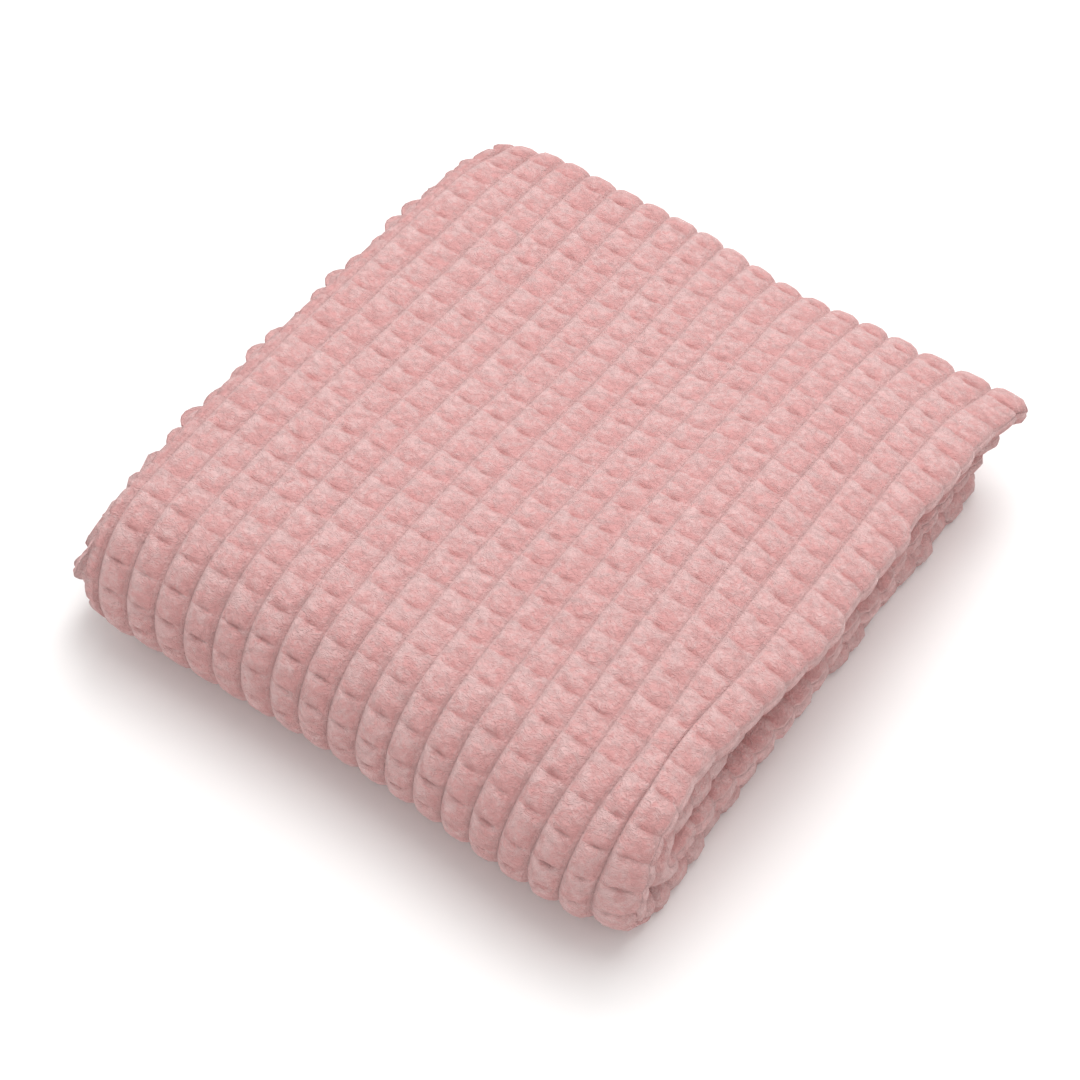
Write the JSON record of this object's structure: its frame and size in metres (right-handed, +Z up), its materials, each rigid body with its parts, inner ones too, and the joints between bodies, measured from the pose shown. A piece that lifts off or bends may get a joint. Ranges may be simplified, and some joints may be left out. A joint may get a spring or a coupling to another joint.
{
  "type": "folded blanket",
  "caption": "Folded flannel throw blanket: one thick ribbed cloth with puffed squares, folded back and forth both ways into a soft square stack.",
  "frame": {"origin": "centre of the bounding box at the height of the surface it lies on", "axes": "+Z up through the stack, +X across the ribs, +Y along the ribs, with the big fold at -Y and the free cloth edges at -X"},
  "size_m": [0.3886, 0.4164, 0.1137],
  "materials": {
    "flannel": "dusty pink brushed flannel with a short soft pile, matt"
  },
  "bodies": {
    "root": {"blanket": "flannel"}
  },
  "joints": []
}
